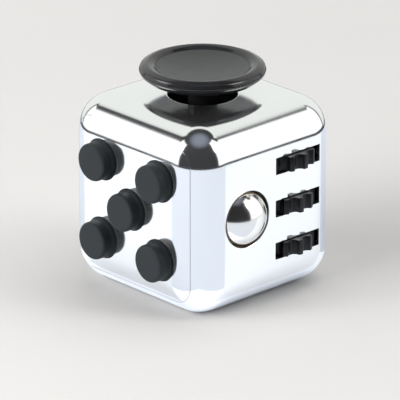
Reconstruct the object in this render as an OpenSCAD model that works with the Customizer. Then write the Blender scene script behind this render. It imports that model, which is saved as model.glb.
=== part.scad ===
// Fidget cube: a palm-sized rounded cube with a different moving toy on each face.
// Millimetres. Z up, bottom face on z = 0, cube centred on the Z axis.
// Front (-Y) has five buttons, right (+X) a ball and three toothed rollers, top a thumb
// stick, back (+Y) a rocker, left (-X) a dial, bottom a shallow thumb dish.

/* [Body] */
// Width, depth and height of the cube body
cube_size = 33; // [28:0.5:40]
// Radius of the rounded edges and corners
corner_radius = 6.3; // [4:0.1:8]
// Thickness of the moulded wall
wall = 1.6; // [1.2:0.1:2]
// Thickness of the face slice that carries the buttons
seam_depth = 1; // [0.8:0.1:1.4]
// Facets round each rounded corner
corner_facets = 32; // [16:4:40]
// Width of the thumb dish in the bottom face
dish_width = 15; // [10:0.5:18]
// Depth of the thumb dish
dish_depth = 1.3; // [0.6:0.1:1.5]

/* [Buttons] */
// Radius of the button cap
button_radius = 3.25; // [2.8:0.05:3.3]
// Radius of the collar round the cap, guided in the hole
button_collar_radius = 3.47; // [3.4:0.01:3.5]
// Radius of the button holes
button_hole_radius = 3.55; // [3.5:0.01:3.6]
// How far the caps stand out of the face
button_height = 2.5; // [1.8:0.1:3]
// Sideways spacing from the centre button
button_pitch_x = 6.95; // [6.5:0.05:7.2]
// Upward spacing from the centre button
button_pitch_z = 7; // [6.5:0.05:7.2]

/* [Ball] */
// Radius of the steel ball
ball_radius = 5.3; // [5.2:0.05:5.35]
// How far the ball stands out of the face
ball_height = 2.3; // [1.8:0.1:2.5]
// Distance of the ball in front of the cube's centre
ball_offset = 5.3; // [5:0.1:5.6]
// Radius of the round opening
ball_opening_radius = 4.9; // [4.85:0.01:4.95]

/* [Toothed rollers] */
// Radius over the tooth tips
gear_radius = 5.4; // [5:0.1:5.5]
// Thickness of the toothed disc
gear_thickness = 2.6; // [2:0.1:2.7]
// Number of teeth
gear_teeth = 12; // [8:1:16]
// Depth of the scallops between the teeth
tooth_depth = 0.85; // [0.6:0.05:1.2]
// Vertical spacing of the rollers
gear_pitch = 7.55; // [7.2:0.05:7.8]
// Distance of the axle behind the cube's centre
gear_offset = 6.3; // [6:0.1:6.5]
// Distance of the axle to the right of the cube's centre
gear_axle_x = 12.7; // [12.2:0.1:13]
// Radius of the axle
gear_axle_radius = 1; // [0.8:0.05:1.1]
// Length of each slot
slot_length = 10.13; // [9.6:0.01:10.6]
// Height of each slot
slot_height = 2.94; // [2.8:0.01:3.2]

/* [Thumb stick] */
// Radius of the opening in the top
stick_hole_radius = 5.87; // [5.4:0.01:6.2]
// Radius of the stem
stem_radius = 2.5; // [2:0.05:2.8]
// Radius of the cap
cap_radius = 10.66; // [9:0.01:11]
// Height of the pivot above the bottom face
pivot_z = 28; // [27.8:0.1:28.2]

/* [Dial] */
// Radius of the dial
dial_radius = 10; // [8:0.1:11]
// How far the dial stands out of the face
dial_height = 2.3; // [1.6:0.1:2.6]
// Radius of the dial's shaft
dial_shaft_radius = 2.5; // [2:0.05:3]

/* [Rocker] */
// Tilt of the rocker at rest
rocker_tilt = 10; // [6:0.5:10]
// Width of the rocker
rocker_width = 6.5; // [6:0.1:6.6]
// Radius of the rocker's pin
rocker_pin_radius = 0.75; // [0.6:0.05:0.8]

/* [Hidden] */
half = cube_size / 2;
mid = half;
inner = half - wall;
seam_y = seam_depth - half;
plug = 11.9;
fit = 0.05;
peg_offset = 11.1;
peg_radius = 0.7;
carrier_y = -12.2;
carrier_thickness = 1.2;
button_xz = [[-1, 1], [1, 1], [0, 0], [-1, -1], [1, -1]];
cover_screw_xz = [[-10, 0], [10, 0], [0, 9.1], [0, -9.1]];
ball_x = half + ball_height - ball_radius;
gear_phase = [4, 24, 23];
gear_z = [mid + gear_pitch, mid, mid - gear_pitch];
ear_z = [5.6, 12.7, 20.3, 27.4];
roll_screw_z = [12.7, 20.3];
socket_screw_angles = [90, 210, 330];
chrome = [0.86, 0.88, 0.9];
black = [0.06, 0.06, 0.07];
charcoal = [0.17, 0.18, 0.19];
white = [0.9, 0.9, 0.88];
steel = [0.6, 0.6, 0.62];

// A box given by its low and high corners
module box(low, high) {
    translate(low)
        cube(high - low);
}

// A solid rounded cube about the body's centre
module rounded_cube(h, r) {
    translate([0, 0, mid])
        hull() {
            for (x = [-1, 1], y = [-1, 1], z = [-1, 1])
                translate([x, y, z] * (h - r))
                    sphere(r = r, $fn = corner_facets);
            cube([2 * h, 2 * (h - r), 2 * (h - r)], center = true);
            cube([2 * (h - r), 2 * h, 2 * (h - r)], center = true);
            cube([2 * (h - r), 2 * (h - r), 2 * h], center = true);
        }
}

// The hollow inside the wall, with chamfered edges
module cavity() {
    chamfer = 2.76;
    long = 2 * inner;
    short = 2 * (inner - chamfer);
    translate([0, 0, mid])
        hull() {
            cube([long, short, short], center = true);
            cube([short, long, short], center = true);
            cube([short, short, long], center = true);
        }
}

// Local +Z becomes outward from the front face at (x, z from the centre)
module on_front(x, z) {
    translate([x, -half, mid + z])
        rotate([90, 0, 0])
            children();
}

// Local +Z becomes +X, from the plane x
module along_x(x, y, z) {
    translate([x, y, z])
        rotate([0, 90, 0])
            children();
}

// Local +Z becomes +Y, from the plane y
module along_y(x, y, z) {
    translate([x, y, z])
        rotate([-90, 0, 0])
            children();
}

// A coil spring from z0 to z1
module coil(r, wire, z0, z1, turns) {
    n = ceil(turns * 12);
    rise = z1 - z0 - 2 * wire;
    points = [for (i = [0:n], j = [0:5])
        let (a = 360 * turns * i / n, b = 60 * j, q = r + wire * cos(b))
        [q * cos(a), q * sin(a), z0 + wire + rise * i / n + wire * sin(b)]];
    sides = [for (i = [0:n - 1], j = [0:5], k = [0, 1])
        let (p = i * 6 + j, q = i * 6 + (j + 1) % 6)
        k == 0 ? [p, q, q + 6] : [p, q + 6, p + 6]];
    ends = [[5, 4, 3, 2, 1, 0], [for (j = [0:5]) n * 6 + j]];
    polyhedron(points = points, faces = concat(sides, ends));
}

// A pan-head screw: head from z = 0 up, shank down
module screw(head_r, head_h, shank_r, length) {
    difference() {
        union() {
            cylinder(r = head_r, h = head_h, $fn = 48);
            translate([0, 0, -length])
                cylinder(r = shank_r, h = length, $fn = 32);
        }
        translate([0, 0, head_h])
            cube([head_r * 1.4, 0.35, head_h], center = true);
        translate([0, 0, head_h])
            cube([0.35, head_r * 1.4, head_h], center = true);
    }
}

// Blocks, bosses and pads inside the main shell
module shell_inside() {
    for (x = [-1, 1], z = [-1, 1])
        translate([x * 11.6, -10.95, mid + z * 11.6])
            cube([3.3, 6.9, 3.3], center = true);
    translate([0, 0, wall - 0.2])
        cylinder(r = 9, h = 1.8, $fn = 64);
    for (a = socket_screw_angles)
        rotate([0, 0, a])
            translate([10, 0, 30.4])
                cylinder(r = 1.9, h = 1.2, $fn = 48);
    for (z = roll_screw_z)
        along_y(7.4, 13.4, z)
            cylinder(r = 1.6, h = 1.7, $fn = 48);
    along_x(-inner - 0.2, 0, mid)
        cylinder(r = 5, h = 1.7, $fn = 64);
}

module main_shell() {
    dish_ball = (dish_width * dish_width / 4 + dish_depth * dish_depth) / (2 * dish_depth);
    color(chrome)
        difference() {
            union() {
                difference() {
                    rounded_cube(half, corner_radius);
                    union() {
                        cavity();
                        box([-20, -20, -1], [20, seam_y, 40]);
                        box([-plug - 0.1, -17, mid - plug - 0.1], [plug + 0.1, -14.3, mid + plug + 0.1]);
                    }
                }
                shell_inside();
            }
            for (x = [-1, 1], z = [-1, 1])
                along_y(x * peg_offset, -14.6, mid + z * peg_offset)
                    cylinder(r = peg_radius + fit, h = 3.6, $fn = 32);
            for (z = gear_z)
                translate([half - 1, gear_offset, z])
                    cube([4, slot_length, slot_height], center = true);
            along_x(half - 0.8, -ball_offset, mid)
                cylinder(r = ball_opening_radius, h = 2, $fn = 96);
            along_x(half - 2.5, -ball_offset, mid)
                cylinder(r = 5.5, h = 1.7, $fn = 96);
            translate([0, 0, 30])
                cylinder(r = stick_hole_radius, h = 4, $fn = 96);
            for (a = socket_screw_angles)
                rotate([0, 0, a])
                    translate([10, 0, 30])
                        cylinder(r = 0.65, h = 2.2, $fn = 32);
            for (z = roll_screw_z)
                along_y(7.4, 13, z)
                    cylinder(r = 0.65, h = 2.7, $fn = 32);
            along_x(-half - 1, 0, mid)
                cylinder(r = dial_shaft_radius + fit, h = 5, $fn = 64);
            box([-4.7, 13, mid - 8.5], [4.7, 18, mid + 8.5]);
            translate([0, 0, dish_depth - dish_ball])
                sphere(r = dish_ball, $fn = 96);
        }
}

module button_cover() {
    color(chrome)
        difference() {
            union() {
                intersection() {
                    rounded_cube(half, corner_radius);
                    box([-20, -20, -1], [20, seam_y, 40]);
                }
                box([-plug, seam_y - 0.2, mid - plug], [plug, -14.6, mid + plug]);
                for (p = cover_screw_xz)
                    along_y(p[0], -14.8, mid + p[1])
                        cylinder(r = 1.6, h = carrier_y + 14.8, $fn = 48);
                for (x = [-1, 1], z = [-1, 1])
                    along_y(x * peg_offset, -14.8, mid + z * peg_offset)
                        cylinder(r = peg_radius, h = 3.3, $fn = 32);
            }
            for (p = button_xz)
                on_front(p[0] * button_pitch_x, p[1] * button_pitch_z)
                    translate([0, 0, -4])
                        cylinder(r = button_hole_radius, h = 6, $fn = 96);
            for (p = cover_screw_xz)
                along_y(p[0], -15, mid + p[1])
                    cylinder(r = 0.65, h = 4, $fn = 32);
        }
}

// One button: cap, collar, hidden flange and stem
module button(i) {
    h = button_height;
    r = button_radius;
    c = button_collar_radius;
    color(charcoal)
        on_front(button_xz[i][0] * button_pitch_x, button_xz[i][1] * button_pitch_z)
            rotate_extrude($fn = 96)
                polygon([[0, -5.7], [1.1, -5.7], [1.1, -2.55], [3.75, -2.55], [3.75, -1.95],
                    [c, -1.95], [c, 0.55], [c - 0.12, 0.7], [r, 0.7], [r, h - 0.42],
                    [r - 0.13, h - 0.13], [r - 0.42, h], [0, h]]);
}

module button_spring(i) {
    color(steel)
        on_front(button_xz[i][0] * button_pitch_x, button_xz[i][1] * button_pitch_z)
            coil(1.9, 0.2, -4.88, -2.57, 3);
}

module button_1() {
    button(0);
}

module button_2() {
    button(1);
}

module button_3() {
    button(2);
}

module button_4() {
    button(3);
}

module button_5() {
    button(4);
}

module button_spring_1() {
    button_spring(0);
}

module button_spring_2() {
    button_spring(1);
}

module button_spring_3() {
    button_spring(2);
}

module button_spring_4() {
    button_spring(3);
}

module button_spring_5() {
    button_spring(4);
}

module button_carrier() {
    back = carrier_y + carrier_thickness;
    color(white)
        difference() {
            union() {
                box([-11.3, carrier_y, mid - 9.3], [11.3, back, mid + 9.3]);
                box([-9.3, carrier_y, mid - 11.3], [9.3, back, mid + 11.3]);
            }
            for (p = button_xz)
                on_front(p[0] * button_pitch_x, p[1] * button_pitch_z) {
                    translate([0, 0, -6])
                        cylinder(r = 1.15, h = 3, $fn = 48);
                    translate([0, 0, -4.9])
                        cylinder(r = 2.4, h = 3, $fn = 64);
                }
            for (p = cover_screw_xz)
                along_y(p[0], carrier_y - 1, mid + p[1]) {
                    cylinder(r = 0.65, h = 4, $fn = 32);
                    translate([0, 0, 1.6])
                        cylinder(r = 1.15, h = 2, $fn = 48);
                }
        }
}

module button_carrier_screws() {
    color(steel)
        for (p = cover_screw_xz)
            along_y(p[0], carrier_y + 0.6, mid + p[1])
                screw(1.1, 0.6, 0.6, 2.8);
}

module joystick_cap() {
    r = cap_radius;
    color(black)
        difference() {
            rotate_extrude($fn = 96)
                polygon([[0, 35.3], [6, 35.3], [8.4, 35.5], [r - 1.3, 35.85], [r - 0.3, 36.67], [r, 37.25],
                    [r - 0.12, 37.65], [r - 0.5, 38.1], [r - 1.1, 38.36], [r - 1.5, 38.4],
                    [r - 2, 38.28], [r - 2.4, 38], [7.95, 37.74], [7.95, 36.85], [0, 36.85]]);
            translate([0, 0, 36.2])
                cylinder(r = 1.7, h = 2, $fn = 48);
            translate([0, 0, 35])
                cylinder(r = 0.75, h = 2, $fn = 32);
        }
}

module joystick_pad() {
    rim = 7.9;
    low = 37.15;
    bowl = 57;
    arc = [for (i = [0:12])
        let (r = rim * (1 - i / 12))
        [r, low + bowl - sqrt(bowl * bowl - r * r)]];
    color(charcoal)
        rotate_extrude($fn = 96)
            polygon(concat([[0, 36.85], [rim, 36.85]], arc));
}

module joystick_stem() {
    color(black)
        difference() {
            union() {
                translate([0, 0, pivot_z])
                    sphere(r = 3.4, $fn = 64);
                translate([0, 0, pivot_z])
                    cylinder(r = stem_radius, h = 35.3 - pivot_z, $fn = 64);
            }
            along_y(0, -6, pivot_z)
                cylinder(r = 0.75, h = 12, $fn = 32);
            translate([0, 0, 32.3])
                cylinder(r = 0.75, h = 4, $fn = 32);
        }
}

module joystick_screw() {
    color(steel)
        translate([0, 0, 36.2])
            screw(1.6, 0.6, 0.7, 3.8);
}

module gimbal_ring() {
    color(white)
        difference() {
            translate([0, 0, pivot_z - 1.2])
                cylinder(r = 6.3, h = 2.4, $fn = 96);
            translate([0, 0, pivot_z - 2])
                cylinder(r = 4.4, h = 4, $fn = 96);
            along_x(-8, 0, pivot_z)
                cylinder(r = 0.75, h = 16, $fn = 32);
            along_y(0, -8, pivot_z)
                cylinder(r = 0.75, h = 16, $fn = 32);
        }
}

module gimbal_pins_x() {
    color(steel)
        for (x = [-8, 4.9])
            along_x(x, 0, pivot_z)
                cylinder(r = 0.7, h = 3.1, $fn = 32);
}

module gimbal_pins_y() {
    color(steel)
        along_y(0, -6, pivot_z)
            cylinder(r = 0.7, h = 12, $fn = 32);
}

module joystick_socket() {
    color(white)
        difference() {
            union() {
                translate([0, 0, 22.3])
                    cylinder(r = 8.2, h = 8.1, $fn = 96);
                for (a = socket_screw_angles)
                    rotate([0, 0, a])
                        hull() {
                            translate([10, 0, 29])
                                cylinder(r = 1.9, h = 1.4, $fn = 24);
                            translate([7.5, 0, 29])
                                cylinder(r = 1.9, h = 1.4, $fn = 24);
                        }
            }
            translate([0, 0, 23.1])
                cylinder(r = 6.9, h = 8, $fn = 96);
            along_x(-9, 0, pivot_z)
                cylinder(r = 0.75, h = 18, $fn = 32);
            for (a = socket_screw_angles)
                rotate([0, 0, a])
                    translate([10, 0, 28])
                        cylinder(r = 0.65, h = 3, $fn = 32);
        }
}

module socket_screws() {
    color(steel)
        for (a = socket_screw_angles)
            rotate([0, 0, a])
                translate([10, 0, 29])
                    rotate([180, 0, 0])
                        screw(1.3, 0.6, 0.6, 3);
}

module centering_spring() {
    color(steel)
        coil(2.3, 0.25, 23.12, 25.35, 2.5);
}

// A toothed roller with its hub reaching between the two ears
module gear(i) {
    r = 0.97;
    hub_low = ear_z[2 - i] + 0.8;
    hub_high = ear_z[3 - i] - 0.8;
    color(black)
        translate([gear_axle_x, gear_offset, 0])
            difference() {
                union() {
                    difference() {
                        translate([0, 0, gear_z[i] - gear_thickness / 2])
                            cylinder(r = gear_radius, h = gear_thickness, $fn = 96);
                        for (t = [0:gear_teeth - 1])
                            rotate([0, 0, gear_phase[i] + (t + 0.5) * 360 / gear_teeth])
                                translate([gear_radius - tooth_depth + r, 0, gear_z[i] - 3])
                                    cylinder(r = r, h = 6, $fn = 32);
                    }
                    translate([0, 0, hub_low])
                        cylinder(r = 2.2, h = hub_high - hub_low, $fn = 48);
                }
                translate([0, 0, hub_low - 1])
                    cylinder(r = gear_axle_radius + fit, h = hub_high - hub_low + 2, $fn = 48);
            }
}

module gear_top() {
    gear(0);
}

module gear_middle() {
    gear(1);
}

module gear_bottom() {
    gear(2);
}

module gear_axle() {
    color(steel)
        translate([gear_axle_x, gear_offset, 4.7])
            cylinder(r = gear_axle_radius, h = 23.6, $fn = 48);
}

module gear_detent_spring() {
    color(steel)
        difference() {
            union() {
                box([5.95, 6.6, 7.5], [6.2, 8.6, 25.4]);
                for (z = gear_z)
                    box([6.1, 6.9, z - 0.9], [7.1, 8.3, z + 0.9]);
            }
            for (z = gear_z)
                box([6.3, 7.1, z - 2], [6.9, 8.1, z + 2]);
            for (z = roll_screw_z)
                along_x(5, 7.6, z)
                    cylinder(r = 0.5, h = 2, $fn = 32);
        }
}

module roll_carrier() {
    color(white)
        difference() {
            union() {
                along_x(1.5, -ball_offset, mid)
                    cylinder(r = 5.4, h = 7.4, $fn = 96);
                box([4.9, -9, 8], [5.9, 13.4, 21.9]);
                box([4.9, 12, 4.9], [13, 13.4, 28.1]);
                for (z = ear_z) {
                    box([10.5, 4, z - 0.7], [14.4, 9, z + 0.7]);
                    box([10.5, 8.9, z - 0.7], [13, 12.1, z + 0.7]);
                }
                for (z = roll_screw_z)
                    along_x(5.8, 7.6, z)
                        cylinder(r = 0.45, h = 0.6, $fn = 32);
            }
            along_x(2.7, -ball_offset, mid)
                cylinder(r = 4.6, h = 8, $fn = 96);
            translate([gear_axle_x, gear_offset, 4])
                cylinder(r = gear_axle_radius + 0.02, h = 25, $fn = 48);
            for (z = roll_screw_z)
                along_y(7.4, 11, z)
                    cylinder(r = 0.65, h = 4, $fn = 32);
        }
}

module roll_carrier_screws() {
    color(steel)
        for (z = roll_screw_z)
            along_y(7.4, 12, z)
                rotate([180, 0, 0])
                    screw(1.2, 0.6, 0.6, 3.4);
}

module steel_ball() {
    color(steel)
        translate([ball_x, -ball_offset, mid])
            sphere(r = ball_radius, $fn = 96);
}

module ball_cup() {
    color(white)
        difference() {
            along_x(6.4, -ball_offset, mid)
                cylinder(r = 4.5, h = 3.8, $fn = 96);
            translate([ball_x, -ball_offset, mid])
                sphere(r = ball_radius + fit, $fn = 96);
        }
}

module ball_spring() {
    color(steel)
        along_x(2.7, -ball_offset, mid)
            coil(2.6, 0.3, 0.02, 3.68, 3.5);
}

module dial() {
    h = dial_height;
    r = dial_radius;
    color(charcoal)
        difference() {
            along_x(-half, 0, mid)
                rotate([180, 0, 0])
                    rotate_extrude($fn = 96)
                        polygon([[0, 1], [6.05, 1], [6.05, 0.3], [r - 0.3, 0.3], [r, 0.6],
                            [r, h - 0.7], [r - 0.25, h - 0.25], [r - 0.7, h],
                            [r - 1.6, h], [r - 2, h - 0.25], [0, h - 0.25]]);
            translate([-half - h - 4.1, 0, mid + 4.2])
                sphere(r = 5, $fn = 64);
        }
}

module dial_hub() {
    color(white)
        difference() {
            union() {
                along_x(-half - 1, 0, mid)
                    cylinder(r = 6, h = 0.7, $fn = 96);
                along_x(-half - 0.5, 0, mid)
                    cylinder(r = dial_shaft_radius, h = 4.4, $fn = 64);
            }
            along_x(-half + 0.6, 0, mid)
                cylinder(r = 0.85, h = 6, $fn = 32);
        }
}

module dial_washer() {
    color(steel)
        along_x(-12.6, 0, mid)
            difference() {
                cylinder(r = 3.8, h = 0.5, $fn = 64);
                translate([0, 0, -1])
                    cylinder(r = 0.85, h = 3, $fn = 32);
            }
}

module dial_screw() {
    color(steel)
        along_x(-12.1, 0, mid)
            screw(1.8, 0.8, 0.8, 3.6);
}

module dial_friction_ring() {
    color(black)
        along_x(-13, 0, mid)
            rotate_extrude($fn = 64)
                translate([3.3, 0])
                    circle(r = 0.34, $fn = 24);
}

// The rocker lies tilted to one side about its pin
module rocker() {
    y = 5.51;
    color(charcoal)
        translate([0, 12.5, mid])
            rotate([rocker_tilt, 0, 0])
                difference() {
                    translate([-rocker_width / 2, 0, 0])
                        rotate([90, 0, 90])
                            linear_extrude(rocker_width)
                                polygon([[y, 6.2], [y - 0.5, 3.4], [y - 0.75, 0.8], [y - 0.75, -0.8],
                                    [y - 0.5, -3.4], [y, -6.2], [y - 0.35, -6.6], [2, -6.3],
                                    [1.4, -5.4], [-0.9, -1.9], [-1.9, -0.5], [-1.9, 0.5],
                                    [-0.9, 1.9], [1.4, 5.4], [2, 6.3], [y - 0.35, 6.6]]);
                    along_x(-5, 0, 0)
                        cylinder(r = rocker_pin_radius + fit, h = 10, $fn = 48);
                }
}

module rocker_housing() {
    color(black)
        difference() {
            union() {
                box([-4.6, 9, mid - 8.4], [4.6, 16.7, mid + 8.4]);
                box([-2, 14.2, mid - 9], [2, 14.85, mid + 9]);
                box([-5.6, half, mid - 10], [5.6, half + 0.8, mid + 10]);
                box([-6.6, half, mid - 9], [6.6, half + 0.8, mid + 9]);
                for (x = [-1, 1], z = [-1, 1])
                    along_y(x * 5.6, half, mid + z * 9)
                        cylinder(r = 1, h = 0.8, $fn = 32);
            }
            box([-3.4, 10.2, mid - 7.6], [3.4, 18, mid + 7.6]);
            along_x(-5, 12.5, mid)
                cylinder(r = rocker_pin_radius + fit, h = 10, $fn = 48);
        }
}

module rocker_pin() {
    color(steel)
        along_x(-4.5, 12.5, mid)
            cylinder(r = rocker_pin_radius, h = 9, $fn = 48);
}

module rocker_leaf() {
    color(steel)
        union() {
            box([-1.5, 10.2, mid - 6], [1.5, 10.4, mid + 6]);
            box([-1.5, 10.3, mid - 0.2], [1.5, 10.5, mid + 0.2]);
        }
}

main_shell();
button_cover();
button_1();
button_2();
button_3();
button_4();
button_5();
button_spring_1();
button_spring_2();
button_spring_3();
button_spring_4();
button_spring_5();
button_carrier();
button_carrier_screws();
joystick_cap();
joystick_pad();
joystick_stem();
joystick_screw();
gimbal_ring();
gimbal_pins_x();
gimbal_pins_y();
joystick_socket();
socket_screws();
centering_spring();
gear_top();
gear_middle();
gear_bottom();
gear_axle();
gear_detent_spring();
roll_carrier();
roll_carrier_screws();
steel_ball();
ball_cup();
ball_spring();
dial();
dial_hub();
dial_washer();
dial_screw();
dial_friction_ring();
rocker();
rocker_housing();
rocker_pin();
rocker_leaf();
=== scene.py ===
"""Fidget cube: smooth meshes, materials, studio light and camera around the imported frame."""
import math

import bmesh
import bpy
from mathutils import Matrix, Vector


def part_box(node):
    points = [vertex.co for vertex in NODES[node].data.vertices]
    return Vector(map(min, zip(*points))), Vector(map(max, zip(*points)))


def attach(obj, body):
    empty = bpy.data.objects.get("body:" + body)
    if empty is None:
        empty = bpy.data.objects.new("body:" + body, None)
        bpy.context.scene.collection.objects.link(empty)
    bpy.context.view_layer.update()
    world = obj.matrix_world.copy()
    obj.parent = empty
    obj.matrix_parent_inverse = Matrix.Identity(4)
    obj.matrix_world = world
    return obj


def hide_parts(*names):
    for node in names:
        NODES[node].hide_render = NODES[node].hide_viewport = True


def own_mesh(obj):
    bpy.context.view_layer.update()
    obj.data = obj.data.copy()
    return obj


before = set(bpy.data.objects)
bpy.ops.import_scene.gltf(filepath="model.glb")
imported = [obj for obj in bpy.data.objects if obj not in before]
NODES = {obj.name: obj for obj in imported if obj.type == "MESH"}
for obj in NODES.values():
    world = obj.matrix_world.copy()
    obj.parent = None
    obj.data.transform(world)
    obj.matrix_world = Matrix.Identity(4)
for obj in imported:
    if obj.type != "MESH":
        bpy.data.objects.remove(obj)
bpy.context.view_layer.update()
MM = 0.001


# ---------------------------------------------------------------- sizes, in mm
def low(node, axis):
    """Lowest coordinate of a CAD node along axis 0, 1 or 2, in mm."""
    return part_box(node)[0][axis] / MM


def high(node, axis):
    """Highest coordinate of a CAD node along axis 0, 1 or 2, in mm."""
    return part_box(node)[1][axis] / MM


def centre(node):
    """Middle of a CAD node's box, in mm."""
    return Vector([(low(node, i) + high(node, i)) / 2 for i in range(3)])


HALF = high("main_shell", 0)
MID = centre("main_shell").z
FILLET = 6.3
FLAT = HALF - FILLET
WALL = 1.6
SKIN_STEPS = 16
CORNERS = [(-1, -1), (-1, 1), (1, -1), (1, 1)]
SEAM_Y = low("main_shell", 1)
PLUG = 11.9
PEG = 11.1
PEG_RADIUS = 0.7
BLOCK = 11.6
BLOCK_HALF = 1.65
SCREW_HOLE = 0.65
BUTTON_HOLE = 3.55
BALL_HOLE = 4.9
BALL_POCKET = 5.5
STICK_HOLE = 5.87
DIAL_HOLE = 2.55
SLOT_HALF_HEIGHT = 1.47
SLOT_HALF_LENGTH = 5.065
ROCKER_HALF_WIDTH = 4.7
ROCKER_HALF_HEIGHT = 8.5
BEYOND = 20
COVER_BACK = -14.6
CARRIER_FRONT = low("button_carrier", 1)
COVER_SCREWS = [(-10, 0), (10, 0), (0, 9.1), (0, -9.1)]
SOCKET_SCREW_ANGLES = [90, 210, 330]
SOCKET_SCREW_RING = 10
ROLL_SCREW_X = centre("roll_carrier_screws").x
ROLL_SCREW_Z = [12.7, 20.3]
BUTTONS = [f"button_{i}" for i in range(1, 6)]
GEARS = ["gear_top", "gear_middle", "gear_bottom"]
GEAR_PHASE = [4, 24, 23]
GEAR_Z = [MID + 7.55, MID, MID - 7.55]
GEAR_TEETH = 12
GEAR_RADIUS = 5.4
TOOTH_DEPTH = 0.85
SCALLOP = 0.97
GEAR_HALF_WIDTH = 1.3
GEAR_BORE = 1.05
AXLE = centre("gear_axle")
BALL = centre("steel_ball")
BALL_RADIUS = high("steel_ball", 0) - BALL.x
PIVOT_Z = centre("gimbal_ring").z


# ---------------------------------------------------------------- mesh helpers, in mm
def arc_corner(before, corner, after, radius, steps=6):
    """Points that round one corner of a flat outline with an arc."""
    a = (before - corner).normalized()
    b = (after - corner).normalized()
    half_angle = a.angle(b) / 2
    longest = 0.49 * min((before - corner).length, (after - corner).length)
    reach = min(radius / math.tan(half_angle), longest)
    radius = reach * math.tan(half_angle)
    middle = corner + (a + b).normalized() * (radius / math.sin(half_angle))
    start = corner + a * reach - middle
    end = corner + b * reach - middle
    turn = start.angle_signed(end)
    return [middle + Matrix.Rotation(-turn * k / steps, 2) @ start for k in range(steps + 1)]


def rounded(points, closed=False, steps=6):
    """An outline of (u, v, corner radius) points as 2D vectors, with its corners rounded."""
    flat = [Vector(p[:2]) for p in points]
    out = []
    count = len(points)
    for i, point in enumerate(points):
        radius = point[2] if len(point) > 2 else 0
        ends = (i == 0 or i == count - 1) and not closed
        if ends or radius == 0:
            out.append(flat[i])
        else:
            out += arc_corner(flat[i - 1], flat[i], flat[(i + 1) % count], radius, steps)
    return out


def lathe(profile, segments=96):
    """A closed bmesh turned about Z from an outline of (radius, height) points.

    The outline starts and ends on the axis or, for a tube, runs right round.
    """
    bm = bmesh.new()
    on_axis = profile[0][0] < 1e-6 and profile[-1][0] < 1e-6
    rings = []
    for r, h in profile:
        if r < 1e-6:
            rings.append([bm.verts.new((0, 0, h))])
            continue
        ring = []
        for k in range(segments):
            angle = 2 * math.pi * k / segments
            ring.append(bm.verts.new((r * math.cos(angle), r * math.sin(angle), h)))
        rings.append(ring)
    pairs = list(zip(rings, rings[1:]))
    if not on_axis:
        pairs.append((rings[-1], rings[0]))
    for a, b in pairs:
        for k in range(segments):
            n = (k + 1) % segments
            corners = [a[k % len(a)], a[n % len(a)], b[n % len(b)], b[k % len(b)]]
            corners = list(dict.fromkeys(corners))
            if len(corners) > 2:
                bm.faces.new(corners)
    bmesh.ops.recalc_face_normals(bm, faces=bm.faces)
    return bm


def rod(radius, length, segments=48):
    """A plain round bar from z = 0 to length, for joining and cutting."""
    return lathe([(0, 0), (radius, 0), (radius, length), (0, length)], segments)


def sphere_profile(radius, steps):
    """The half circle that a lathe turns into a sphere about the origin."""
    profile = []
    for k in range(steps + 1):
        angle = math.pi * k / steps - math.pi / 2
        profile.append((radius * max(0, math.cos(angle)), radius * math.sin(angle)))
    profile[0] = (0, -radius)
    profile[-1] = (0, radius)
    return profile


def prism(outline, z0, z1):
    """A closed bmesh from a flat outline between two heights."""
    bm = bmesh.new()
    bottom = [bm.verts.new((p[0], p[1], z0)) for p in outline]
    top = [bm.verts.new((p[0], p[1], z1)) for p in outline]
    count = len(outline)
    bm.faces.new(bottom[::-1])
    bm.faces.new(top)
    for i in range(count):
        n = (i + 1) % count
        bm.faces.new([bottom[i], bottom[n], top[n], top[i]])
    bmesh.ops.recalc_face_normals(bm, faces=bm.faces)
    return bm


def box(low_corner, high_corner):
    """A plain box, for joining and cutting."""
    x0, y0, z0 = low_corner
    x1, y1, z1 = high_corner
    return prism([(x0, y0), (x1, y0), (x1, y1), (x0, y1)], z0, z1)


def loft(loops):
    """A closed bmesh through loops of 3D points that have the same count."""
    bm = bmesh.new()
    rings = [[bm.verts.new(p) for p in loop] for loop in loops]
    count = len(loops[0])
    bm.faces.new(rings[0][::-1])
    bm.faces.new(rings[-1])
    for a, b in zip(rings, rings[1:]):
        for i in range(count):
            n = (i + 1) % count
            bm.faces.new([a[i], a[n], b[n], b[i]])
    bmesh.ops.recalc_face_normals(bm, faces=bm.faces)
    return bm


def place(bm, axis="+z", at=(0, 0, 0)):
    """Turns a bmesh so that its Z runs along axis, then moves it."""
    turns = {
        "+z": Matrix.Identity(4),
        "+x": Matrix.Rotation(math.pi / 2, 4, "Y"),
        "-x": Matrix.Rotation(-math.pi / 2, 4, "Y"),
        "+y": Matrix.Rotation(-math.pi / 2, 4, "X"),
        "-y": Matrix.Rotation(math.pi / 2, 4, "X"),
    }
    bm.transform(Matrix.Translation(at) @ turns[axis])
    return bm


def merged(parts):
    """Several bmeshes as one."""
    whole = bmesh.new()
    for part in parts:
        mesh = bpy.data.meshes.new("part")
        part.to_mesh(mesh)
        part.free()
        whole.from_mesh(mesh)
        bpy.data.meshes.remove(mesh)
    return whole


def to_object(bm, name):
    """The bmesh, in mm, as an object in metres."""
    mesh = bpy.data.meshes.new(name)
    bm.transform(Matrix.Scale(MM, 4))
    bm.to_mesh(mesh)
    bm.free()
    obj = bpy.data.objects.new(name, mesh)
    bpy.context.scene.collection.objects.link(obj)
    return obj


def applied(obj):
    """obj with its modifiers made real."""
    graph = bpy.context.evaluated_depsgraph_get()
    mesh = bpy.data.meshes.new_from_object(obj.evaluated_get(graph))
    obj.modifiers.clear()
    obj.data = mesh
    return obj


def taken_back(obj):
    """The mesh of obj as a bmesh in mm. The object is removed."""
    bm = bmesh.new()
    bm.from_mesh(obj.data)
    bm.transform(Matrix.Scale(1 / MM, 4))
    bpy.data.objects.remove(obj)
    return bm


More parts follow.
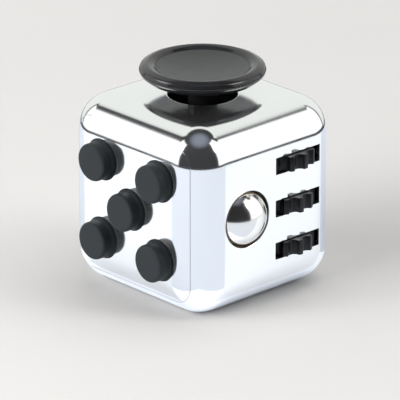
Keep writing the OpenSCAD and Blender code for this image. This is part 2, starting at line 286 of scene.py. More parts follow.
def combine(bm, other, operation):
    """bm with another closed bmesh added or cut away, both in mm."""
    base = to_object(bm, "base")
    tool = to_object(other, "tool")
    modifier = base.modifiers.new("combine", "BOOLEAN")
    modifier.operation = operation
    modifier.solver = "EXACT"
    modifier.object = tool
    applied(base)
    bpy.data.objects.remove(tool)
    return taken_back(base)


def bevelled(obj, width, segments=3, angle=35):
    """obj with its sharp edges rounded by width mm."""
    modifier = obj.modifiers.new("edges", "BEVEL")
    modifier.width = width * MM
    modifier.segments = segments
    modifier.limit_method = "ANGLE"
    modifier.angle_limit = math.radians(angle)
    return obj


def smooth(mesh, angle=32):
    """Smooth shading with sharp edges where faces meet at more than angle degrees."""
    mesh.polygons.foreach_set("use_smooth", [True] * len(mesh.polygons))
    mesh.set_sharp_from_angle(angle=math.radians(angle))


def finish_piece(bm, name, material, body, nodes, bevel=0, angle=32):
    """A finished piece: mesh, material, body, and the CAD nodes it stands for."""
    obj = to_object(bm, name)
    if bevel:
        bevelled(obj, bevel)
        applied(obj)
    smooth(obj.data, angle)
    obj.data.materials.clear()
    obj.data.materials.append(material)
    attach(obj, body)
    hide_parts(*nodes)
    return obj


# ---------------------------------------------------------------- materials
def new_material(name):
    """An empty node material: (material, nodes, links, shader)."""
    material = bpy.data.materials.new(name)
    material.use_nodes = True
    nodes = material.node_tree.nodes
    return material, nodes, material.node_tree.links, nodes["Principled BSDF"]


def noise(nodes, links, scale, detail=3):
    """Noise in object space; scale is in cells per metre."""
    where = nodes.new("ShaderNodeTexCoord")
    texture = nodes.new("ShaderNodeTexNoise")
    texture.inputs["Scale"].default_value = scale
    texture.inputs["Detail"].default_value = detail
    texture.inputs["Roughness"].default_value = 0.55
    links.new(where.outputs["Object"], texture.inputs["Vector"])
    return texture.outputs["Fac"]


def ranged(nodes, links, value, out_low, out_high):
    """The middle of a noise, from 0.3 to 0.7, stretched over another range."""
    mapped = nodes.new("ShaderNodeMapRange")
    mapped.inputs["From Min"].default_value = 0.3
    mapped.inputs["From Max"].default_value = 0.7
    mapped.inputs["To Min"].default_value = out_low
    mapped.inputs["To Max"].default_value = out_high
    links.new(value, mapped.inputs["Value"])
    return mapped.outputs["Result"]


def tinted(nodes, links, value, dark, light):
    """A colour between two, by value."""
    mix = nodes.new("ShaderNodeMix")
    mix.data_type = "RGBA"
    mix.inputs["A"].default_value = (*dark, 1)
    mix.inputs["B"].default_value = (*light, 1)
    links.new(value, mix.inputs["Factor"])
    return mix.outputs["Result"]


def bump(nodes, links, shader, height, distance, strength):
    """A fine relief from height; distance in mm."""
    relief = nodes.new("ShaderNodeBump")
    relief.inputs["Distance"].default_value = distance * MM
    relief.inputs["Strength"].default_value = strength
    links.new(height, relief.inputs["Height"])
    links.new(relief.outputs["Normal"], shader.inputs["Normal"])


def surface(name, dark, light, rough, metal=0, grain=3000, relief=0, tone=400, specular=None):
    """A material whose colour and roughness vary a little, with a fine relief in mm.

    tone and grain are how many patches and grains there are to a metre.
    """
    material, nodes, links, shader = new_material(name)
    patches = noise(nodes, links, tone)
    fine = noise(nodes, links, grain, detail=2)
    colour = tinted(nodes, links, ranged(nodes, links, patches, 0, 1), dark, light)
    links.new(colour, shader.inputs["Base Color"])
    links.new(ranged(nodes, links, patches, *rough), shader.inputs["Roughness"])
    shader.inputs["Metallic"].default_value = metal
    if specular is not None:
        shader.inputs["Specular IOR Level"].default_value = specular
    if relief:
        bump(nodes, links, shader, fine, relief, 0.6)
    return material


CHROME = surface("chrome_plating", (0.915, 0.925, 0.94), (0.935, 0.945, 0.955), (0.1, 0.13),
                 metal=0.985, tone=90)
BALL_STEEL = surface("polished_ball", (0.9, 0.88, 0.85), (0.93, 0.91, 0.88), (0.13, 0.17),
                     metal=1, tone=500)
GLOSS = surface("black_gloss", (0.010, 0.010, 0.011), (0.014, 0.014, 0.015), (0.13, 0.18),
                relief=0.002, tone=300)
PAD = surface("thumb_pad", (0.018, 0.019, 0.02), (0.022, 0.023, 0.024), (0.38, 0.44),
              grain=9000, relief=0.008)
MATTE = surface("button_rubber", (0.013, 0.016, 0.018), (0.017, 0.02, 0.0225), (0.5, 0.6),
                grain=8000, relief=0.012, specular=0.25)
SATIN = surface("roller_black", (0.004, 0.004, 0.005), (0.007, 0.007, 0.008), (0.3, 0.4),
                grain=7000, relief=0.006, specular=0.3)
WHITE = surface("white_moulding", (0.74, 0.73, 0.7), (0.8, 0.79, 0.76), (0.35, 0.45),
                grain=4000, relief=0.01)
STEEL = surface("drawn_steel", (0.5, 0.5, 0.52), (0.62, 0.62, 0.64), (0.18, 0.32),
                metal=1, grain=6000, relief=0.003)
RUBBER = surface("black_ring", (0.015, 0.015, 0.015), (0.022, 0.022, 0.022), (0.7, 0.8),
                 grain=5000, relief=0.02)
# Painted shade: the inside of the parting line gets a darker, duller metal than the chrome round
# it, so the groove reads as a grey line.
SEAM_SHADE = surface("parting_line_painted_shade", (0.4, 0.4, 0.41), (0.46, 0.46, 0.47), (0.4, 0.5),
               metal=1, tone=900)
# Painted shade: a dark brownish metal on the wall of the ball's bore, for the dark ring of shade in
# the gap round the ball.
BORE_SHADE = surface("bore_wall_painted_shade", (0.16, 0.13, 0.1), (0.22, 0.18, 0.14), (0.3, 0.4),
               metal=1, tone=900)
# Painted light: a paler card under the cube, seen only in reflections, that lightens the floor
# where the cube's contact shadow falls.
PAINTED_LIGHT_CARD = surface("base_card_painted_light", (0.78, 0.81, 0.86), (0.8, 0.83, 0.88), (0.75, 0.85), tone=3)
CARD = surface("white_card", (0.61, 0.635, 0.66), (0.63, 0.655, 0.68), (0.75, 0.85), tone=3)
TABLE = surface("table_top", (0.45, 0.48, 0.53), (0.47, 0.5, 0.55), (0.75, 0.85), tone=3)
FLOOR = surface("pale_floor", (0.46, 0.45, 0.44), (0.49, 0.48, 0.47), (0.75, 0.85), tone=3)


# ---------------------------------------------------------------- shell
def grid_lines(half_size, radius, steps):
    """Places along one side of a cube that fall at even angles round the fillets."""
    flat = half_size - radius
    ends = [flat + radius * math.tan(math.radians(45 * k / steps)) for k in range(steps + 1)]
    return [-e for e in reversed(ends)] + ends


def nearest_core(p, flat):
    """The point nearest to p of the inner cube, flat each way, that the fillets roll round."""
    return Vector([max(-flat, min(flat, c)) for c in p])


def on_rounded(p, half_size, radius):
    """The point of a rounded cube that a point of the plain cube maps to."""
    core = nearest_core(p, half_size - radius)
    return core + (p - core).normalized() * radius


def rounded_cube(half_size, radius, steps):
    """A rounded cube about the body's centre, with even steps round its fillets."""
    bm = bmesh.new()
    lines = grid_lines(half_size, radius, steps)
    for axis in range(3):
        for side in (-1, 1):
            rows = []
            for u in lines:
                row = []
                for v in lines:
                    p = Vector((0, 0, 0))
                    p[axis] = side * half_size
                    p[(axis + 1) % 3] = u
                    p[(axis + 2) % 3] = v
                    row.append(bm.verts.new(on_rounded(p, half_size, radius)))
                rows.append(row)
            for i in range(len(lines) - 1):
                for j in range(len(lines) - 1):
                    near = [rows[i][j], rows[i + 1][j]]
                    bm.faces.new(near + [rows[i + 1][j + 1], rows[i][j + 1]])
    bmesh.ops.remove_doubles(bm, verts=bm.verts, dist=1e-4)
    bmesh.ops.recalc_face_normals(bm, faces=bm.faces)
    bm.transform(Matrix.Translation((0, 0, MID)))
    return bm


def rim_steps(lip, count=4):
    """(depth, outward growth) steps of a rounded hole edge of radius lip."""
    steps = []
    for k in range(count + 1):
        angle = math.radians(90 * k / count)
        steps.append((lip * (1 - math.cos(angle)), lip * (1 - math.sin(angle))))
    return steps


def round_cutter(radius, depth, lip=0.18, segments=96):
    """A drill from local z = 0 inwards, with a rounded mouth."""
    profile = [(0, 1), (radius + lip, 1)]
    profile += [(radius + grow, -down) for down, grow in rim_steps(lip)]
    profile += [(radius, -depth), (0, -depth)]
    return lathe(profile, segments)


def slot_cutter(half_u, half_v, depth, lip=0.12):
    """A rectangular punch from local z = 0 inwards, with a rounded mouth."""
    levels = [(1, lip)] + [(-down, grow) for down, grow in rim_steps(lip)] + [(-depth, 0)]
    loops = []
    for z, grow in levels:
        u = half_u + grow
        v = half_v + grow
        loops.append([(-u, -v, z), (u, -v, z), (u, v, z), (-u, v, z)])
    return loft(loops)


def seam_groove(radius=0.085):
    """A thin ring along the parting line of the button cover."""
    corner = math.sqrt(FILLET ** 2 - (-SEAM_Y - FLAT) ** 2)
    path = []
    for sx, sz, start in ((1, 1, 0), (-1, 1, 90), (-1, -1, 180), (1, -1, 270)):
        for k in range(13):
            angle = math.radians(start + 7.5 * k)
            x = sx * FLAT + corner * math.cos(angle)
            z = sz * FLAT + corner * math.sin(angle)
            path.append((x, z, angle))
    bm = bmesh.new()
    rings = []
    for x, z, angle in path:
        ring = []
        for k in range(8):
            turn = 2 * math.pi * k / 8
            out = radius * math.cos(turn)
            at = (x + out * math.cos(angle), SEAM_Y + radius * math.sin(turn),
                  MID + z + out * math.sin(angle))
            ring.append(bm.verts.new(at))
        rings.append(ring)
    for a, b in zip(rings, rings[1:] + rings[:1]):
        for k in range(8):
            n = (k + 1) % 8
            bm.faces.new([a[k], a[n], b[n], b[k]])
    bmesh.ops.recalc_face_normals(bm, faces=bm.faces)
    return bm


def from_core(point):
    """How far, in mm, a point in metres is from the core of the shell's fillets."""
    where = point / MM - Vector((0, 0, MID))
    return where - nearest_core(where, FLAT)


def paint_seam_shade(obj):
    """Paints shade into the parting line: its inside gets a darker, duller metal than the chrome.
    """
    obj.data.materials.append(SEAM_SHADE)
    for polygon in obj.data.polygons:
        if abs((polygon.center / MM).y - SEAM_Y) > 0.1:
            continue
        offset = from_core(polygon.center)
        depth = FILLET - offset.length
        tilt = offset.normalized().dot(polygon.normal)
        if 0.003 < depth < 0.12 and tilt < 0.9:
            polygon.material_index = 1


def paint_bore_shade(obj):
    """Paints shade round the ball: the wall of its bore gets a dark brownish metal."""
    obj.data.materials.append(BORE_SHADE)
    for polygon in obj.data.polygons:
        where = polygon.center / MM - Vector((HALF, BALL.y, MID))
        near_axis = math.hypot(where.y, where.z) < BALL_HOLE + 0.07
        if where.x > -1 and near_axis and polygon.normal.x < 0.9:
            polygon.material_index = 2


def true_normals(obj):
    """Gives the outer skin the exact normals of the rounded cube, so that reflections run true."""
    mesh = obj.data
    normals = [Vector(n.vector) for n in mesh.corner_normals]
    for polygon in mesh.polygons:
        for loop in polygon.loop_indices:
            offset = from_core(mesh.vertices[mesh.loops[loop].vertex_index].co)
            facing = offset.normalized().dot(polygon.normal)
            if abs(offset.length - FILLET) < 0.01 and facing > 0.75:
                normals[loop] = offset.normalized()
    mesh.normals_split_custom_set(normals)


def socket_screw_places(height):
    """Where the three screws of the stick's socket stand, at a height."""
    places = []
    for angle in SOCKET_SCREW_ANGLES:
        a = math.radians(angle)
        places.append((SOCKET_SCREW_RING * math.cos(a), SOCKET_SCREW_RING * math.sin(a), height))
    return places


def face_cutters():
    """Every opening of the main shell: ball, roller slots, stick, dial, rocker, pegs and screws."""
    cutters = [place(round_cutter(BALL_HOLE, 0.9), "+x", (HALF, BALL.y, MID))]
    cutters.append(place(rod(BALL_POCKET, -1.8, 96), "+x", (HALF - 0.8, BALL.y, MID)))
    for z in GEAR_Z:
        slot = slot_cutter(SLOT_HALF_HEIGHT, SLOT_HALF_LENGTH, 3)
        cutters.append(place(slot, "+x", (HALF, AXLE.y, z)))
    cutters.append(place(round_cutter(STICK_HOLE, 3, lip=0.3), "+z", (0, 0, MID + HALF)))
    dial_hole = round_cutter(DIAL_HOLE, 4, lip=0.1, segments=64)
    cutters.append(place(dial_hole, "-x", (-HALF, 0, MID)))
    window = slot_cutter(ROCKER_HALF_WIDTH, ROCKER_HALF_HEIGHT, 3)
    cutters.append(place(window, "+y", (0, HALF, MID)))
    for sx, sz in CORNERS:
        at = (sx * PEG, COVER_BACK, MID + sz * PEG)
        cutters.append(place(rod(PEG_RADIUS + 0.05, 3.6, 32), "+y", at))
    for at in socket_screw_places(30):
        cutters.append(place(rod(SCREW_HOLE, 2.2, 32), "+z", at))
    for z in ROLL_SCREW_Z:
        cutters.append(place(rod(SCREW_HOLE, 2.7, 32), "+y", (ROLL_SCREW_X, 13, z)))
    return merged(cutters)


def dish_cutter(width=15, depth=1.3, lip=1.2):
    """The thumb dish in the bottom, with a soft edge."""
    radius = (width * width / 4 + depth * depth) / (2 * depth)
    edge = width / 2 + lip
    profile = [(0, -1), (edge, -1), (edge, 0), (width / 2 + lip * 0.45, 0.03)]
    steps = 24
    for k in range(steps + 1):
        r = (width / 2) * (1 - k / steps)
        profile.append((r, depth - (radius - math.sqrt(radius * radius - r * r))))
    return lathe(profile, 96)


def shell_insides():
    """The peg blocks and bosses inside the main shell."""
    inside = []
    for sx, sz in CORNERS:
        x = sx * BLOCK
        z = MID + sz * BLOCK
        low_corner = (x - BLOCK_HALF, -14.4, z - BLOCK_HALF)
        inside.append(box(low_corner, (x + BLOCK_HALF, -7.5, z + BLOCK_HALF)))
    inside.append(place(rod(9, 1.8, 64), "+z", (0, 0, WALL - 0.2)))
    for at in socket_screw_places(30.4):
        inside.append(place(rod(1.9, 1.2), "+z", at))
    for z in ROLL_SCREW_Z:
        inside.append(place(rod(1.6, 1.7), "+y", (ROLL_SCREW_X, 13.4, z)))
    inside.append(place(rod(5, 1.7, 64), "-x", (-HALF + WALL + 1.5, 0, MID)))
    return merged(inside)


def chromed(bm, name, node):
    """A finished chromed piece of the body, with its parting line."""
    bm = combine(bm, seam_groove(), "DIFFERENCE")
    obj = finish_piece(bm, name, CHROME, "housing", [node], angle=28)
    # painted shade inside the parting line
    paint_seam_shade(obj)
    return obj


def build_shell():
    """The main shell: outer skin, cavity, blocks, bosses and openings."""
    bm = rounded_cube(HALF, FILLET, SKIN_STEPS)
    bm = combine(bm, rounded_cube(HALF - WALL, FILLET - WALL, 5), "DIFFERENCE")
    front = box((-BEYOND, -BEYOND, -1), (BEYOND, SEAM_Y, 2 * BEYOND))
    bm = combine(bm, front, "DIFFERENCE")
    side = PLUG + 0.1
    bm = combine(bm, box((-side, -17, MID - side), (side, -14.3, MID + side)), "DIFFERENCE")
    bm = combine(bm, shell_insides(), "UNION")
    bm = combine(bm, face_cutters(), "DIFFERENCE")
    bm = combine(bm, dish_cutter(), "DIFFERENCE")
    obj = chromed(bm, "shell", "main_shell")
    # painted shade on the wall of the ball's bore
    paint_bore_shade(obj)
    true_normals(obj)


def cover_posts():
    """The screw bosses and pegs behind the button cover."""
    posts = []
    for x, z in COVER_SCREWS:
        post = rod(1.6, CARRIER_FRONT - COVER_BACK + 0.2)
        posts.append(place(post, "+y", (x, COVER_BACK - 0.2, MID + z)))
    for sx, sz in CORNERS:
        peg = lathe([(0, 0), (PEG_RADIUS, 0), (PEG_RADIUS, 3.1), (0.55, 3.3), (0, 3.3)], 32)
        posts.append(place(peg, "+y", (sx * PEG, COVER_BACK - 0.2, MID + sz * PEG)))
    return merged(posts)


def cover_holes():
    """The button holes and screw holes of the button cover."""
    holes = []
    for button in BUTTONS:
        at = centre(button)
        holes.append(place(round_cutter(BUTTON_HOLE, 3, lip=0.15), "-y", (at.x, -HALF, at.z)))
    for x, z in COVER_SCREWS:
        holes.append(place(rod(SCREW_HOLE, 4, 32), "+y", (x, -15, MID + z)))
    return merged(holes)


def build_cover():
    """The button cover: a thin slice of the skin with a plug, bosses and pegs behind it."""
    bm = rounded_cube(HALF, FILLET, SKIN_STEPS)
    back = box((-BEYOND, SEAM_Y, -1), (BEYOND, BEYOND, 2 * BEYOND))
    bm = combine(bm, back, "DIFFERENCE")
    plug = box((-PLUG, SEAM_Y - 0.3, MID - PLUG), (PLUG, COVER_BACK, MID + PLUG))
    bm = combine(bm, plug, "UNION")
    bm = combine(bm, cover_posts(), "UNION")
    bm = combine(bm, cover_holes(), "DIFFERENCE")
    true_normals(chromed(bm, "cover", "button_cover"))


# ---------------------------------------------------------------- buttons
def build_buttons():
    """Caps with a soft edge, a collar, a hidden flange and a stem."""
    profile = rounded([
        (0, -5.7), (1.1, -5.7, 0.15), (1.1, -2.55, 0.1), (3.75, -2.55, 0.08),
        (3.75, -1.95, 0.08), (3.47, -1.95), (3.47, 0.3, 0.3), (3.25, 0.72, 0.3),
        (3.25, 2.46, 0.45), (2.4, 2.5, 2), (0, 2.5)])
    for name in BUTTONS:
        at = centre(name)
        bm = place(lathe(profile, 96), "-y", (at.x, -HALF, at.z))
        finish_piece(bm, f"{name}_cap", MATTE, name, [name])


# ---------------------------------------------------------------- thumb stick
CAP_R = 10.66
PAD_R = 7.9
PAD_BOTTOM = 36.85
PAD_BOWL = 37.1
HUB_R = 3.4
STEM_R = 2.5
PIN_R = 0.75


def build_stem():
    """The stem of the stick, on its ball hub, with the bore of the gimbal pin."""
    profile = [(0, PIVOT_Z - HUB_R)]
    for k in range(1, 24):
        angle = math.radians(-90 + 6 * k)
        if HUB_R * math.cos(angle) < STEM_R and angle > 0:
            break
        profile.append((HUB_R * math.cos(angle), PIVOT_Z + HUB_R * math.sin(angle)))
    meet = math.sqrt(HUB_R * HUB_R - STEM_R * STEM_R)
    profile += [(STEM_R, PIVOT_Z + meet), (STEM_R, 35.3), (0.75, 35.3), (0.75, 32.3), (0, 32.3)]
    pin = place(rod(PIN_R, 12, 32), "+y", (0, -6, PIVOT_Z))
    bm = combine(lathe(profile, 64), pin, "DIFFERENCE")
    finish_piece(bm, "stick_stem", GLOSS, "stick", ["joystick_stem"])


def build_stick():
    """Cap ring, matte thumb pad and stem."""
    r = CAP_R
    cap = rounded([
        (0.75, 35.3), (6, 35.3), (8.4, 35.5, 2), (r - 1.3, 35.85, 0.3), (r - 0.3, 36.67, 0.08),
        (r - 0.24, 36.75, 0.06), (r, 37.25, 0.9), (r - 0.28, 38.0, 0.7), (r - 1.4, 38.46, 0.9),
        (r - 2.2, 38.2, 0.8), (7.95, 37.87), (7.95, PAD_BOTTOM), (1.7, PAD_BOTTOM), (1.7, 36.2),
        (0.75, 36.2)], closed=True)
    finish_piece(lathe(cap, 128), "stick_cap", GLOSS, "stick", ["joystick_cap"])
    pad = [(0, PAD_BOTTOM), (PAD_R, PAD_BOTTOM)]
    steps = 20
    for k in range(steps + 1):
        radius = PAD_R * (1 - k / steps)
        pad.append((radius, 37 + PAD_BOWL - math.sqrt(PAD_BOWL * PAD_BOWL - radius * radius)))
    finish_piece(lathe(pad, 128), "stick_pad", PAD, "stick", ["joystick_pad"])
    build_stem()


# ---------------------------------------------------------------- ball and rollers
def build_ball():
    """A true sphere, finely turned."""
    bm = place(lathe(sphere_profile(BALL_RADIUS, 64), 128), "+z", BALL)
    finish_piece(bm, "ball_polished", BALL_STEEL, "ball", ["steel_ball"],
                 angle=80)


def gear_outline(phase):
    """Flat-topped teeth with round scallops between them."""
    reach = GEAR_RADIUS - TOOTH_DEPTH + SCALLOP
    across = GEAR_RADIUS ** 2 + reach ** 2 - SCALLOP ** 2
    half_gap = math.acos(across / (2 * GEAR_RADIUS * reach))
    pitch = 2 * math.pi / GEAR_TEETH
    points = []
    for tooth in range(GEAR_TEETH):
        angle = math.radians(phase) + tooth * pitch
        side = pitch / 2 - half_gap
        for k in range(5):
            a = angle - side + 2 * side * k / 4
            points.append(Vector((GEAR_RADIUS * math.cos(a), GEAR_RADIUS * math.sin(a))))
        gap = angle + pitch / 2
        middle = Vector((math.cos(gap), math.sin(gap))) * reach
        start = points[-1] - middle
        end_at = angle + pitch - side
        end = Vector((math.cos(end_at), math.sin(end_at))) * GEAR_RADIUS - middle
        turn = start.angle_signed(end)
        if turn < 0:
            turn += 2 * math.pi
        for k in range(1, 12):
            points.append(middle + Matrix.Rotation(-turn * k / 12, 2) @ start)
    return points


def toothed_disc(z, phase):
    """The toothed rim of one roller, with its edges rounded."""
    disc = prism(gear_outline(phase), z - GEAR_HALF_WIDTH, z + GEAR_HALF_WIDTH)
    disc = place(disc, "+z", (AXLE.x, AXLE.y, 0))
    return taken_back(applied(bevelled(to_object(disc, "disc"), 0.13, segments=2, angle=30)))


def build_gears():
    """Three toothed rollers on one axle."""
    on_axle = (AXLE.x, AXLE.y, 0)
    for name, z, phase in zip(GEARS, GEAR_Z, GEAR_PHASE):
        z0 = low(name, 2)
        z1 = high(name, 2)
        profile = [(0, z0), (2.1, z0), (2.2, z0 + 0.1), (2.2, z1 - 0.1), (2.1, z1), (0, z1)]
        hub = place(lathe(profile, 64), "+z", on_axle)
        bm = combine(toothed_disc(z, phase), hub, "UNION")
        profile = [(0, z0 - 1), (GEAR_BORE, z0 - 1), (GEAR_BORE, z1 + 1), (0, z1 + 1)]
        bm = combine(bm, place(lathe(profile, 64), "+z", on_axle), "DIFFERENCE")
        body = name.replace("gear", "roller")
        finish_piece(bm, f"{name}_toothed", SATIN, body, [name], angle=30)


# ---------------------------------------------------------------- dial and rocker
DIAL_RADIUS = 10
DIMPLE_RADIUS = 5
ROCKER_FACE = 5.51
ROCKER_TILT = 10
ROCKER_PIN_Y = 12.5


def build_dial():
    """A round dial with grip rings and a finger dimple."""
    r = DIAL_RADIUS
    top = -HALF - low("dial", 0)
    face = top - 0.25
    profile = [(0, 1), (6.05, 1), (6.05, 0.3), (r - 0.3, 0.3, 0.15), (r, 0.6, 0.15),
               (r, top - 0.65, 0.5), (r - 0.65, top, 0.45), (r - 1.5, top, 0.4),
               (r - 1.95, face, 0.3)]
    for k in range(3):
        ring = r - 2.5 - 0.55 * k
        profile += [(ring + 0.15, face, 0.08), (ring, face - 0.12, 0.08)]
        profile.append((ring - 0.15, face, 0.08))
    profile += [(0, face)]
    bm = place(lathe(rounded(profile, steps=4), 128), "-x", (-HALF, 0, MID))
    dimple = lathe(sphere_profile(DIMPLE_RADIUS, 32), 96)
    place(dimple, "-x", (-HALF - top - 4.1, 0, MID + 4.2))
    bm = combine(bm, dimple, "DIFFERENCE")
    finish_piece(bm, "dial_face", MATTE, "dial_wheel", ["dial"], bevel=0.06)


def build_rocker():
    """The rocker, tilted about its pin as the CAD has it."""
    y = ROCKER_FACE
    outline = rounded([
        (y, 6.2, 0.3), (y - 0.5, 3.4, 3), (y - 0.75, 0.8, 3), (y - 0.75, -0.8, 3),
        (y - 0.5, -3.4, 3), (y, -6.2, 0.3), (y - 0.35, -6.6, 0.3), (2, -6.3, 0.4),
        (1.4, -5.4, 0.8), (-0.9, -1.9, 0.6), (-1.9, -0.5, 0.3), (-1.9, 0.5, 0.3),
        (-0.9, 1.9, 0.6), (1.4, 5.4, 0.8), (2, 6.3, 0.4), (y - 0.35, 6.6, 0.3)],
        closed=True, steps=5)
    bm = prism(outline, -3.25, 3.25)
    along_x = Matrix(((0, 0, 1, 0), (1, 0, 0, 0), (0, 1, 0, 0), (0, 0, 0, 1)))
    bm.transform(along_x)
    pin = place(lathe([(0, -5), (0.8, -5), (0.8, 5), (0, 5)], 48), "+x")
    bm = combine(bm, pin, "DIFFERENCE")
    tilt = Matrix.Rotation(math.radians(ROCKER_TILT), 4, "X")
    bm.transform(Matrix.Translation((0, ROCKER_PIN_Y, MID)) @ tilt)
    finish_piece(bm, "rocker_key", MATTE, "rocker_flip", ["rocker"],
                 bevel=0.18)


# ---------------------------------------------------------------- springs
def coil(radius, wire, z0, z1, turns, sides=10, per_turn=28):
    """A coil spring of round wire from z0 to z1."""
    count = math.ceil(turns * per_turn)
    rise = z1 - z0 - 2 * wire
    bm = bmesh.new()
    rings = []
    for i in range(count + 1):
        a = 2 * math.pi * turns * i / count
        ring = []
        for j in range(sides):
            b = 2 * math.pi * j / sides
            q = radius + wire * math.cos(b)
            z = z0 + wire + rise * i / count + wire * math.sin(b)
            ring.append(bm.verts.new((q * math.cos(a), q * math.sin(a), z)))
        rings.append(ring)
    for a, b in zip(rings, rings[1:]):
        for j in range(sides):
            n = (j + 1) % sides
            bm.faces.new([a[j], a[n], b[n], b[j]])
    bm.faces.new(rings[0])
    bm.faces.new(rings[-1])
    bmesh.ops.recalc_face_normals(bm, faces=bm.faces)
    return bm


def build_springs():
    """Springs under the buttons, behind the ball and under the stick."""
    for i, name in enumerate(BUTTONS, 1):
        at = centre(name)
        bm = place(coil(1.9, 0.2, -4.88, -2.57, 3), "-y", (at.x, -HALF, at.z))
        obj = finish_piece(bm, f"button_coil_{i}", STEEL, "housing", [f"button_spring_{i}"],
                           angle=80)
        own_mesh(obj)
    bm = place(coil(2.6, 0.3, 0.02, 3.68, 3.5), "+x", (2.7, BALL.y, MID))
    obj = finish_piece(bm, "ball_coil", STEEL, "housing", ["ball_spring"],
                       angle=80)
    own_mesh(obj)
    bm = coil(2.3, 0.25, 23.12, 25.35, 2.5)
    finish_piece(bm, "stick_coil", STEEL, "housing", ["centering_spring"],
                 angle=80)


# ---------------------------------------------------------------- CAD nodes that stay
KEPT = {
    "button_carrier": WHITE, "button_carrier_screws": STEEL, "joystick_screw": STEEL,
    "gimbal_ring": SATIN, "gimbal_pins_x": STEEL, "gimbal_pins_y": STEEL,
    "joystick_socket": SATIN, "socket_screws": STEEL, "gear_axle": STEEL,
    "gear_detent_spring": STEEL, "roll_carrier": SATIN, "roll_carrier_screws": STEEL,
    "ball_cup": SATIN, "dial_hub": WHITE, "dial_washer": STEEL, "dial_screw": STEEL,
    "dial_friction_ring": RUBBER, "rocker_housing": SATIN, "rocker_pin": STEEL,
    "rocker_leaf": STEEL}


def dress_kept_nodes():
    """Materials and softened edges for the CAD nodes that show as they are."""
    for name, material in KEPT.items():
        obj = NODES[name]
        obj.data.materials.clear()
        obj.data.materials.append(material)
        width = 0.12 if name == "rocker_housing" else 0.05
        bevelled(obj, width, segments=2)


# ---------------------------------------------------------------- studio
TABLE_RADIUS = 135
SOFT_BOX = (1.15, 1.15, 1.15)
BACK_WALL = (0.84, 0.86, 0.82)
DARK_GAP = (0.028, 0.029, 0.031)
LAMP = (5, 5, 5)
CEILING = (0.2, 0.225, 0.28)
LIGHT_AIM = Vector((0, 0, 0.016))
CAMERA_AZIMUTH = 46.87
CAMERA_ELEVATION = 21.46
CAMERA_DISTANCE = 0.78696
CAMERA_ASIDE = -0.43
CAMERA_DROP = -2.51
CAMERA_LENS = 421.7


def arc(start, end, steps):
    """Points on the rim of the table disc between two angles in degrees."""
    points = []
    for k in range(steps + 1):
        angle = math.radians(start + (end - start) * k / steps)
        points.append((TABLE_RADIUS * math.cos(angle), TABLE_RADIUS * math.sin(angle)))
    return points


def card(name, outline, height, material):
    """A flat card just above the floor that only reflections see."""
    bm = bmesh.new()
    bm.faces.new([bm.verts.new((x, y, height)) for x, y in outline])
    bmesh.ops.recalc_face_normals(bm, faces=bm.faces)
    obj = to_object(bm, name)
    obj.data.materials.append(material)
    obj.visible_camera = False
    obj.visible_diffuse = False
    obj.visible_shadow = False


def build_floor():
    """A wide pale floor, and what the chrome sees in its place: a table top, white cards, and a
    paler card under the cube that paints light over its contact shadow.
    """
    bm = bmesh.new()
    bmesh.ops.create_grid(bm, x_segments=4, y_segments=4, size=4000)
    obj = to_object(bm, "floor")
    obj.data.materials.append(FLOOR)
    obj.visible_glossy = False
    card("table_front", arc(0, 355, 71), 0.01, TABLE)
    # painted light under the cube, against its contact shadow in the reflections
    card("card_base_painted_light", [(-24, -24), (24, -24), (24, 24), (-24, 24)], 0.02, PAINTED_LIGHT_CARD)
    card("card_right", [(16.5, -11.8)] + arc(34.3, 67.7, 12) + [(16.3, 11.8)], 0.03, CARD)
    card("card_left", [(-11.5, -16.4)] + arc(204.8, 231.1, 12) + [(10.2, -16.5)], 0.03, CARD)


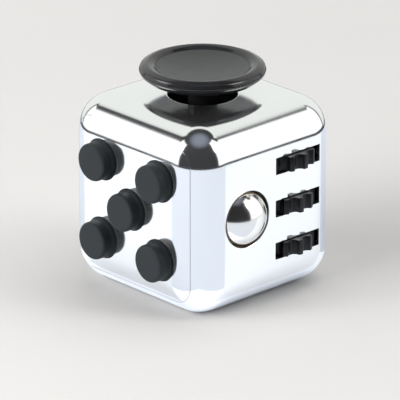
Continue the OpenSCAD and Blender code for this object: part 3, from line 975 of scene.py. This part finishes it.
class Sky:
    """The studio round the cube: soft boxes and dark gaps, placed by direction."""

    def __init__(self):
        world = bpy.data.worlds.new("studio")
        world.use_nodes = True
        bpy.context.scene.world = world
        self.nodes = world.node_tree.nodes
        self.links = world.node_tree.links
        self.background = self.nodes["Background"]
        where = self.nodes.new("ShaderNodeTexCoord")
        self.where = where.outputs["Generated"]
        split = self.nodes.new("ShaderNodeSeparateXYZ")
        self.links.new(self.where, split.inputs["Vector"])
        turn = self.math("ARCTAN2", split.outputs["Y"], split.outputs["X"])
        turn = self.math("DEGREES", turn)
        shifted = self.math("ADD", turn, 360)
        self.azimuth = self.math("MODULO", shifted, 360)
        self.height = self.math("DEGREES", self.math("ARCSINE", split.outputs["Z"]))
        self.total = None

    def math(self, operation, a, b=None):
        """One math node on sockets or numbers."""
        node = self.nodes.new("ShaderNodeMath")
        node.operation = operation
        for socket, value in zip(node.inputs, (a, b)):
            if value is None:
                continue
            if isinstance(value, (int, float)):
                socket.default_value = value
            else:
                self.links.new(value, socket)
        return node.outputs[0]

    def step(self, value, start, end):
        """0 before start, 1 after end, smooth between."""
        node = self.nodes.new("ShaderNodeMapRange")
        node.interpolation_type = "SMOOTHSTEP"
        node.inputs["From Min"].default_value = start
        node.inputs["From Max"].default_value = end
        self.links.new(value, node.inputs["Value"])
        return node.outputs["Result"]

    def between(self, value, first, last, soft):
        """1 between first and last, with soft edges in degrees."""
        rise = self.step(value, first - soft, first + soft)
        fall = self.step(value, last - soft, last + soft)
        return self.math("MULTIPLY", rise, self.math("SUBTRACT", 1, fall))

    def panel(self, azimuths, heights, colour, soft=1, soft_height=1):
        """Adds a soft box between two azimuths and two heights, in degrees."""
        side = self.between(self.azimuth, *azimuths, soft)
        rise = self.between(self.height, *heights, soft_height)
        self.glow(self.math("MULTIPLY", side, rise), colour)

    def spot(self, azimuth, height, reach, core, colour):
        """Adds a round glow about one direction that fades from core to reach degrees away."""
        a = math.radians(azimuth)
        h = math.radians(height)
        dot = self.nodes.new("ShaderNodeVectorMath")
        dot.operation = "DOT_PRODUCT"
        towards = (math.cos(h) * math.cos(a), math.cos(h) * math.sin(a), math.sin(h))
        dot.inputs[1].default_value = towards
        self.links.new(self.where, dot.inputs[0])
        outer = math.cos(math.radians(reach))
        inner = math.cos(math.radians(core))
        self.glow(self.step(dot.outputs["Value"], outer, inner), colour)

    def glow(self, mask, colour):
        """Adds a colour where mask is 1."""
        scale = self.nodes.new("ShaderNodeVectorMath")
        scale.operation = "SCALE"
        scale.inputs[0].default_value = colour
        self.links.new(mask, scale.inputs["Scale"])
        self.add(scale.outputs["Vector"])

    def add(self, colour):
        """Adds one more light to the total."""
        if self.total is None:
            self.total = colour
            return
        node = self.nodes.new("ShaderNodeVectorMath")
        node.operation = "ADD"
        self.links.new(self.total, node.inputs[0])
        self.links.new(colour, node.inputs[1])
        self.total = node.outputs["Vector"]

    def done(self):
        """Connects the total to the world."""
        self.links.new(self.total, self.background.inputs["Color"])


def build_sky():
    """Soft boxes on two sides, a paler back wall, lamps, and dark gaps between them."""
    sky = Sky()
    everywhere = sky.nodes.new("ShaderNodeCombineXYZ")
    for socket, value in zip(everywhere.inputs, DARK_GAP):
        socket.default_value = value
    sky.add(everywhere.outputs[0])
    sky.panel((50, 81), (-7, 44), SOFT_BOX)
    sky.panel((15, 50), (-7, 60), SOFT_BOX)
    sky.panel((192, 216), (-7.5, 38), SOFT_BOX, soft_height=2)
    sky.panel((216, 251), (-7.5, 51), SOFT_BOX, soft_height=2)
    sky.panel((86, 187), (-9, 55), BACK_WALL)
    sky.panel((66, 86), (47.5, 55), BACK_WALL)
    sky.panel((187, 196), (43, 55), BACK_WALL, soft=2, soft_height=2)
    sky.spot(32, 38, 17, 6, LAMP)
    sky.spot(234, 30, 17, 6, LAMP)
    sky.spot(-45, 80, 32, 3, CEILING)
    sky.done()


def area_light(name, at, size, power):
    """A soft light that lights surfaces but doesn't show in the chrome."""
    data = bpy.data.lights.new(name, "AREA")
    data.shape = "SQUARE"
    data.size = size
    data.energy = power
    obj = bpy.data.objects.new(name, data)
    bpy.context.scene.collection.objects.link(obj)
    obj.location = at
    obj.rotation_euler = (LIGHT_AIM - Vector(at)).to_track_quat("-Z", "Y").to_euler()
    obj.visible_glossy = False


def build_lights():
    """Soft light from above and from the front, for the floor and the matte pieces."""
    area_light("overhead", (0.15, 0.25, 1.1), 1.0, 9)
    area_light("front_fill", (-0.1, -0.7, 0.35), 0.5, 8.5)


def build_camera():
    """The camera, turned from -Y towards +X and raised, looking at the cube's middle."""
    azimuth = math.radians(CAMERA_AZIMUTH)
    elevation = math.radians(CAMERA_ELEVATION)
    level = math.cos(elevation)
    back = Vector((math.sin(azimuth) * level, -math.cos(azimuth) * level, math.sin(elevation)))
    right = Vector((math.cos(azimuth), math.sin(azimuth), 0))
    up = back.cross(right)
    data = bpy.data.cameras.new("camera")
    data.sensor_width = 36
    data.lens = CAMERA_LENS
    data.clip_start = 0.05
    data.clip_end = 20
    camera = bpy.data.objects.new("camera", data)
    bpy.context.scene.collection.objects.link(camera)
    target = Vector((0, 0, MID * MM))
    at = target + back * CAMERA_DISTANCE + right * (CAMERA_ASIDE * MM) + up * (CAMERA_DROP * MM)
    turn = Matrix((right, up, back)).transposed().to_4x4()
    camera.matrix_world = Matrix.Translation(at) @ turn
    bpy.context.scene.camera = camera


build_camera()
build_floor()
build_sky()
build_lights()
build_shell()
build_cover()
build_buttons()
build_stick()
build_ball()
build_gears()
build_dial()
build_rocker()
build_springs()
dress_kept_nodes()
bpy.context.scene.view_settings.view_transform = "Standard"
